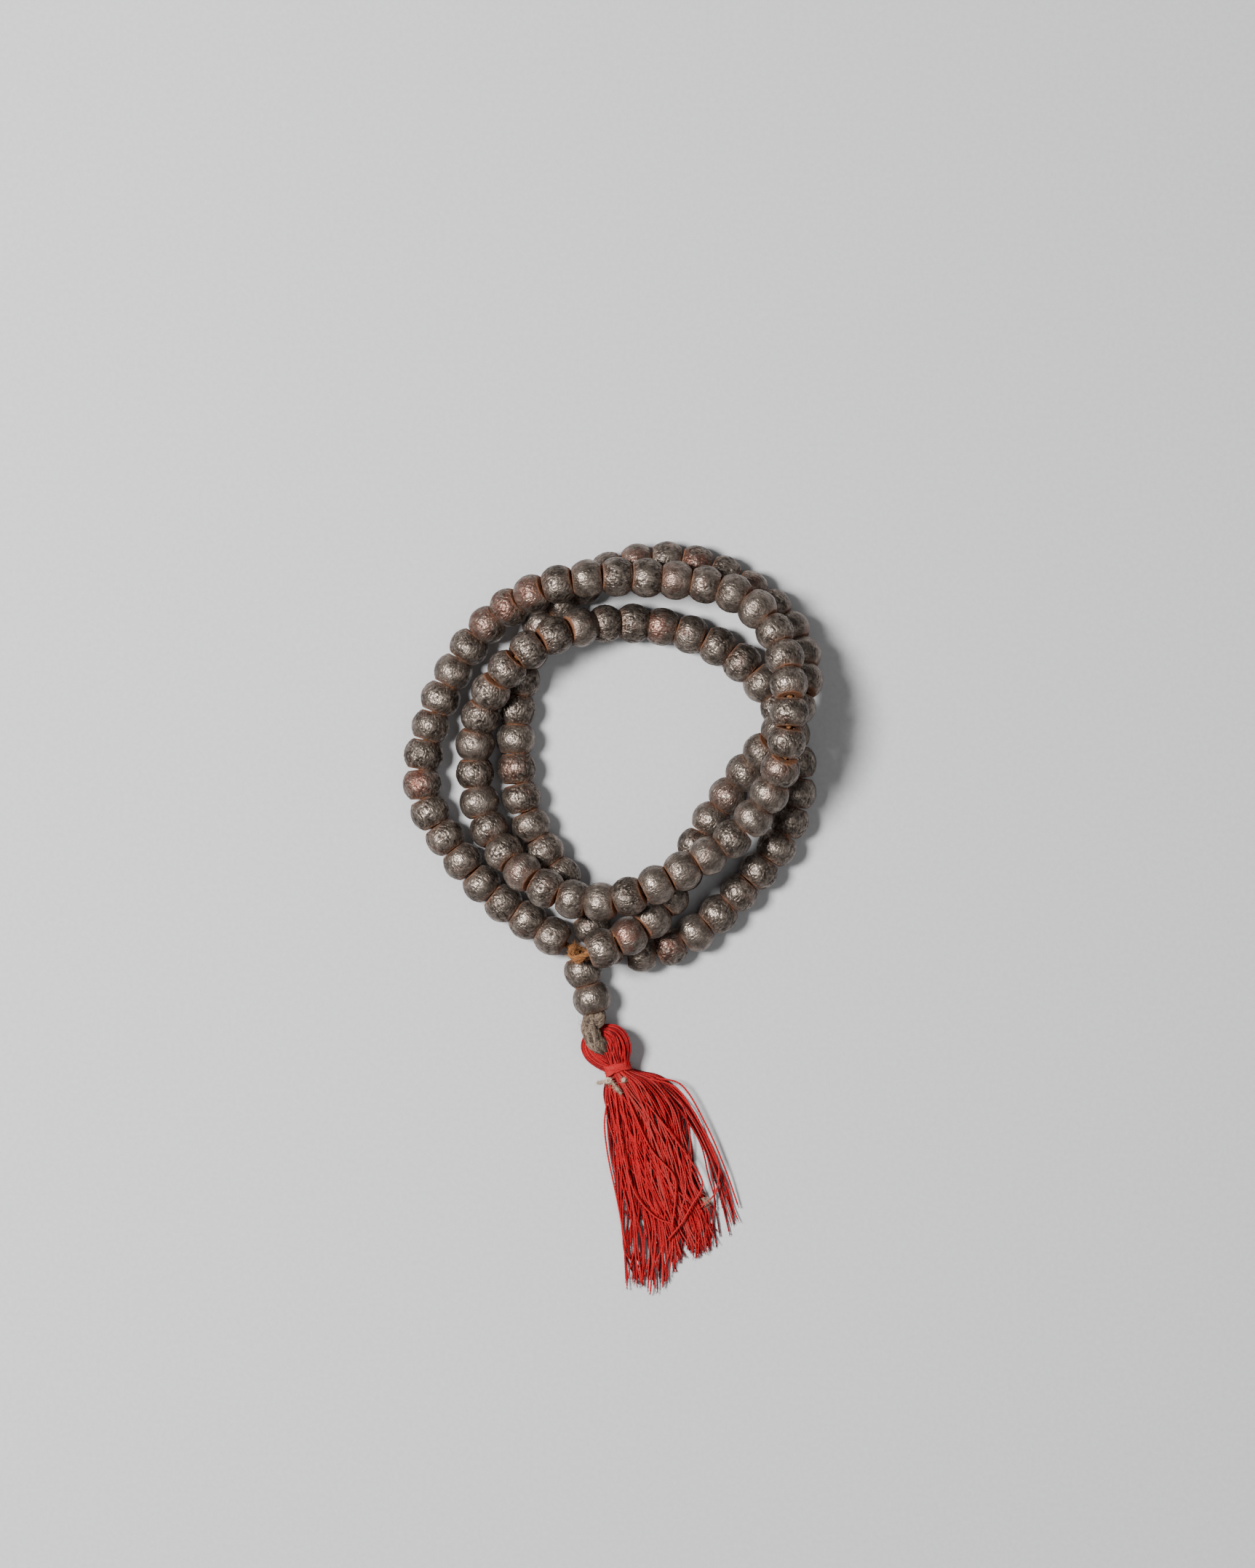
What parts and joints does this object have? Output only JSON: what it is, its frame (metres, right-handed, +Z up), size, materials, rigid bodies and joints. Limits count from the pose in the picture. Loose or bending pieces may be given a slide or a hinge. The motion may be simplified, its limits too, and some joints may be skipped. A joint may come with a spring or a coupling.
{
  "type": "mala prayer beads",
  "caption": "String of worn iron barrel beads laid in loose turns on a table, closed by guru beads and a red cotton tassel.",
  "frame": {"origin": "on the table under the middle of the object's bounding box", "axes": "+Z up off the table, +Y from the tassel towards the far end of the coil, +X to the right of someone who looks along +Y"},
  "size_m": [0.0998, 0.1791, 0.028],
  "materials": {
    "iron": "worn dark iron with a pitted, hammered surface and rust at the bores",
    "string": "twisted orange-brown cord",
    "link": "coarse grey-brown fibre cord",
    "cotton": "red cotton thread",
    "tie": "off-white cotton thread"
  },
  "bodies": {
    "strand": {"stringing_cord": "string", "bead_run_1": "iron", "bead_run_2": "iron", "bead_run_3": "iron", "closing_knot": "string", "link_cord": "link"},
    "bead_001": {"bead_001": "iron"},
    "bead_002": {"bead_002": "iron"},
    "bead_003": {"bead_003": "iron"},
    "bead_004": {"bead_004": "iron"},
    "bead_005": {"bead_005": "iron"},
    "bead_006": {"bead_006": "iron"},
    "bead_007": {"bead_007": "iron"},
    "bead_008": {"bead_008": "iron"},
    "bead_009": {"bead_009": "iron"},
    "bead_010": {"bead_010": "iron"},
    "bead_011": {"bead_011": "iron"},
    "bead_012": {"bead_012": "iron"},
    "bead_013": {"bead_013": "iron"},
    "bead_014": {"bead_014": "iron"},
    "bead_015": {"bead_015": "iron"},
    "bead_016": {"bead_016": "iron"},
    "bead_017": {"bead_017": "iron"},
    "bead_018": {"bead_018": "iron"},
    "bead_019": {"bead_019": "iron"},
    "bead_020": {"bead_020": "iron"},
    "bead_021": {"bead_021": "iron"},
    "bead_022": {"bead_022": "iron"},
    "bead_023": {"bead_023": "iron"},
    "bead_024": {"bead_024": "iron"},
    "bead_025": {"bead_025": "iron"},
    "bead_026": {"bead_026": "iron"},
    "bead_027": {"bead_027": "iron"},
    "bead_028": {"bead_028": "iron"},
    "bead_029": {"bead_029": "iron"},
    "bead_030": {"bead_030": "iron"},
    "bead_031": {"bead_031": "iron"},
    "bead_032": {"bead_032": "iron"},
    "bead_033": {"bead_033": "iron"},
    "bead_034": {"bead_034": "iron"},
    "bead_035": {"bead_035": "iron"},
    "bead_036": {"bead_036": "iron"},
    "bead_037": {"bead_037": "iron"},
    "bead_038": {"bead_038": "iron"},
    "bead_039": {"bead_039": "iron"},
    "bead_040": {"bead_040": "iron"},
    "bead_041": {"bead_041": "iron"},
    "bead_042": {"bead_042": "iron"},
    "bead_043": {"bead_043": "iron"},
    "bead_044": {"bead_044": "iron"},
    "bead_045": {"bead_045": "iron"},
    "bead_046": {"bead_046": "iron"},
    "bead_047": {"bead_047": "iron"},
    "bead_048": {"bead_048": "iron"},
    "guru_bead_1": {"guru_bead_1": "iron"},
    "guru_bead_2": {"guru_bead_2": "iron"},
    "tassel_loop": {"tassel_head_loop": "cotton"},
    "tassel": {"tassel_binding": "cotton", "tie_thread": "tie", "tassel_skirt": "cotton"}
  },
  "joints": [
    {"name": "tassel_swing", "type": "hinge", "parent": "strand", "child": "tassel_loop", "pos_m": [-0.0018, -0.0312, 0.0046], "axis": [0, 0, 1], "range_deg": [-15, 15]},
    {"name": "tassel_lift", "type": "hinge", "parent": "tassel_loop", "child": "tassel", "pos_m": [0.0017, -0.0362, 0.007], "axis": [-0.9585, -0.2851, 0], "range_deg": [0, 50]},
    {"name": "bead_001_spin", "type": "hinge", "parent": "strand", "child": "bead_001", "pos_m": [-0.01427, -0.00452, 0.0045], "axis": [-0.8447, 0.5352, 0], "continuous": true},
    {"name": "bead_002_spin", "type": "hinge", "parent": "strand", "child": "bead_002", "pos_m": [-0.02019, -0.00072, 0.0045], "axis": [-0.8385, 0.5449, 0], "continuous": true},
    {"name": "bead_003_spin", "type": "hinge", "parent": "strand", "child": "bead_003", "pos_m": [-0.02595, 0.00329, 0.0045], "axis": [-0.8019, 0.5975, 0], "continuous": true},
    {"name": "bead_004_spin", "type": "hinge", "parent": "strand", "child": "bead_004", "pos_m": [-0.03116, 0.00797, 0.0045], "axis": [-0.6797, 0.7335, 0], "continuous": true},
    {"name": "bead_005_spin", "type": "hinge", "parent": "strand", "child": "bead_005", "pos_m": [-0.03569, 0.01333, 0.0045], "axis": [-0.6106, 0.7919, 0], "continuous": true},
    {"name": "bead_006_spin", "type": "hinge", "parent": "strand", "child": "bead_006", "pos_m": [-0.03985, 0.019, 0.0045], "axis": [-0.572, 0.8202, 0], "continuous": true},
    {"name": "bead_007_spin", "type": "hinge", "parent": "strand", "child": "bead_007", "pos_m": [-0.04343, 0.02503, 0.0045], "axis": [-0.4463, 0.8949, 0], "continuous": true},
    {"name": "bead_008_spin", "type": "hinge", "parent": "strand", "child": "bead_008", "pos_m": [-0.04529, 0.03168, 0.0045], "axis": [-0.0819, 0.9966, 0], "continuous": true},
    {"name": "bead_009_spin", "type": "hinge", "parent": "strand", "child": "bead_009", "pos_m": [-0.04495, 0.03864, 0.0045], "axis": [0.1768, 0.9843, 0], "continuous": true},
    {"name": "bead_010_spin", "type": "hinge", "parent": "strand", "child": "bead_010", "pos_m": [-0.0433, 0.04546, 0.0045], "axis": [0.2942, 0.9558, 0], "continuous": true},
    {"name": "bead_011_spin", "type": "hinge", "parent": "strand", "child": "bead_011", "pos_m": [-0.04093, 0.05207, 0.0045], "axis": [0.3798, 0.9251, 0], "continuous": true},
    {"name": "bead_012_spin", "type": "hinge", "parent": "strand", "child": "bead_012", "pos_m": [-0.0379, 0.0584, 0.0045], "axis": [0.4814, 0.8765, 0], "continuous": true},
    {"name": "bead_013_spin", "type": "hinge", "parent": "strand", "child": "bead_013", "pos_m": [-0.03414, 0.06431, 0.00475], "axis": [0.589, 0.805, 0.0711], "continuous": true},
    {"name": "bead_014_spin", "type": "hinge", "parent": "strand", "child": "bead_014", "pos_m": [-0.02966, 0.06952, 0.00595], "axis": [0.687, 0.6749, 0.2693], "continuous": true},
    {"name": "bead_015_spin", "type": "hinge", "parent": "strand", "child": "bead_015", "pos_m": [-0.02459, 0.07363, 0.00841], "axis": [0.7527, 0.4961, 0.4328], "continuous": true},
    {"name": "bead_016_spin", "type": "hinge", "parent": "strand", "child": "bead_016", "pos_m": [-0.01899, 0.07672, 0.01128], "axis": [0.8406, 0.3833, 0.3827], "continuous": true},
    {"name": "bead_017_spin", "type": "hinge", "parent": "strand", "child": "bead_017", "pos_m": [-0.01271, 0.07894, 0.01332], "axis": [0.9482, 0.2487, 0.1979], "continuous": true},
    {"name": "bead_018_spin", "type": "hinge", "parent": "strand", "child": "bead_018", "pos_m": [-0.00588, 0.08023, 0.01413], "axis": [0.9927, 0.1164, 0.0322], "continuous": true},
    {"name": "bead_019_spin", "type": "hinge", "parent": "strand", "child": "bead_019", "pos_m": [0.0011, 0.08068, 0.01387], "axis": [0.9942, 0.013, -0.1065], "continuous": true},
    {"name": "bead_020_spin", "type": "hinge", "parent": "strand", "child": "bead_020", "pos_m": [0.00807, 0.08047, 0.01307], "axis": [0.9902, -0.0722, -0.1194], "continuous": true},
    {"name": "bead_021_spin", "type": "hinge", "parent": "strand", "child": "bead_021", "pos_m": [0.01505, 0.07991, 0.01254], "axis": [0.9955, -0.0884, -0.0338], "continuous": true},
    {"name": "bead_022_spin", "type": "hinge", "parent": "strand", "child": "bead_022", "pos_m": [0.02199, 0.07889, 0.01259], "axis": [0.9782, -0.2021, 0.0482], "continuous": true},
    {"name": "bead_023_spin", "type": "hinge", "parent": "strand", "child": "bead_023", "pos_m": [0.02861, 0.07677, 0.01324], "axis": [0.9056, -0.4011, 0.138], "continuous": true},
    {"name": "bead_024_spin", "type": "hinge", "parent": "strand", "child": "bead_024", "pos_m": [0.03426, 0.07299, 0.01455], "axis": [0.6998, -0.6751, 0.2335], "continuous": true},
    {"name": "bead_025_spin", "type": "hinge", "parent": "strand", "child": "bead_025", "pos_m": [0.03828, 0.06765, 0.01644], "axis": [0.4442, -0.8422, 0.3056], "continuous": true},
    {"name": "bead_026_spin", "type": "hinge", "parent": "strand", "child": "bead_026", "pos_m": [0.04057, 0.06157, 0.01896], "axis": [0.2083, -0.8874, 0.4112], "continuous": true},
    {"name": "bead_027_spin", "type": "hinge", "parent": "strand", "child": "bead_027", "pos_m": [0.0415, 0.05524, 0.02182], "axis": [0.0547, -0.914, 0.402], "continuous": true},
    {"name": "bead_028_spin", "type": "hinge", "parent": "strand", "child": "bead_028", "pos_m": [0.04155, 0.04852, 0.02342], "axis": [-0.0388, -0.9979, 0.0526], "continuous": true},
    {"name": "bead_029_spin", "type": "hinge", "parent": "strand", "child": "bead_029", "pos_m": [0.04093, 0.04157, 0.02309], "axis": [-0.1367, -0.9797, -0.1465], "continuous": true},
    {"name": "bead_030_spin", "type": "hinge", "parent": "strand", "child": "bead_030", "pos_m": [0.0395, 0.03521, 0.02085], "axis": [-0.2701, -0.8291, -0.4895], "continuous": true},
    {"name": "bead_031_spin", "type": "hinge", "parent": "strand", "child": "bead_031", "pos_m": [0.03698, 0.02934, 0.01807], "axis": [-0.4484, -0.8417, -0.3008], "continuous": true},
    {"name": "bead_032_spin", "type": "hinge", "parent": "strand", "child": "bead_032", "pos_m": [0.03321, 0.02367, 0.01654], "axis": [-0.6236, -0.7701, -0.1347], "continuous": true},
    {"name": "bead_033_spin", "type": "hinge", "parent": "strand", "child": "bead_033", "pos_m": [0.02829, 0.01875, 0.01606], "axis": [-0.7758, -0.631, -0.0022], "continuous": true},
    {"name": "bead_034_spin", "type": "hinge", "parent": "strand", "child": "bead_034", "pos_m": [0.02258, 0.01472, 0.01644], "axis": [-0.8505, -0.5146, 0.1083], "continuous": true},
    {"name": "bead_035_spin", "type": "hinge", "parent": "strand", "child": "bead_035", "pos_m": [0.01655, 0.01119, 0.01725], "axis": [-0.863, -0.4902, 0.122], "continuous": true},
    {"name": "bead_036_spin", "type": "hinge", "parent": "strand", "child": "bead_036", "pos_m": [0.01035, 0.00794, 0.0177], "axis": [-0.9012, -0.4333, 0.007], "continuous": true},
    {"name": "bead_037_spin", "type": "hinge", "parent": "strand", "child": "bead_037", "pos_m": [0.00395, 0.00521, 0.01705], "axis": [-0.919, -0.3443, -0.1922], "continuous": true},
    {"name": "bead_038_spin", "type": "hinge", "parent": "strand", "child": "bead_038", "pos_m": [-0.00268, 0.00378, 0.01552], "axis": [-0.9681, -0.063, -0.2424], "continuous": true},
    {"name": "bead_039_spin", "type": "hinge", "parent": "strand", "child": "bead_039", "pos_m": [-0.00945, 0.00446, 0.01424], "axis": [-0.9587, 0.2566, -0.1226], "continuous": true},
    {"name": "bead_040_spin", "type": "hinge", "parent": "strand", "child": "bead_040", "pos_m": [-0.01582, 0.00706, 0.01312], "axis": [-0.8531, 0.4834, -0.1965], "continuous": true},
    {"name": "bead_041_spin", "type": "hinge", "parent": "strand", "child": "bead_041", "pos_m": [-0.02129, 0.01082, 0.01102], "axis": [-0.7038, 0.5868, -0.4005], "continuous": true},
    {"name": "bead_042_spin", "type": "hinge", "parent": "strand", "child": "bead_042", "pos_m": [-0.02576, 0.01539, 0.00816], "axis": [-0.5679, 0.7119, -0.4132], "continuous": true},
    {"name": "bead_043_spin", "type": "hinge", "parent": "strand", "child": "bead_043", "pos_m": [-0.0293, 0.02095, 0.00593], "axis": [-0.4397, 0.8709, -0.2197], "continuous": true},
    {"name": "bead_044_spin", "type": "hinge", "parent": "strand", "child": "bead_044", "pos_m": [-0.03168, 0.02742, 0.00498], "axis": [-0.2368, 0.9701, -0.0523], "continuous": true},
    {"name": "bead_045_spin", "type": "hinge", "parent": "strand", "child": "bead_045", "pos_m": [-0.03271, 0.03432, 0.00513], "axis": [-0.0551, 0.9937, 0.0972], "continuous": true},
    {"name": "bead_046_spin", "type": "hinge", "parent": "strand", "child": "bead_046", "pos_m": [-0.03262, 0.04121, 0.00634], "axis": [0.0799, 0.9657, 0.247], "continuous": true},
    {"name": "bead_047_spin", "type": "hinge", "parent": "strand", "child": "bead_047", "pos_m": [-0.03137, 0.04777, 0.00841], "axis": [0.2749, 0.899, 0.3409], "continuous": true},
    {"name": "bead_048_spin", "type": "hinge", "parent": "strand", "child": "bead_048", "pos_m": [-0.02881, 0.05363, 0.01118], "axis": [0.4549, 0.7702, 0.447], "continuous": true},
    {"name": "guru_bead_1_spin", "type": "hinge", "parent": "strand", "child": "guru_bead_1", "pos_m": [-0.00698, -0.01285, 0.0045], "axis": [0.34, -0.9404, 0], "continuous": true},
    {"name": "guru_bead_2_spin", "type": "hinge", "parent": "strand", "child": "guru_bead_2", "pos_m": [-0.00485, -0.01945, 0.0045], "axis": [0.2728, -0.9621, 0], "continuous": true}
  ]
}
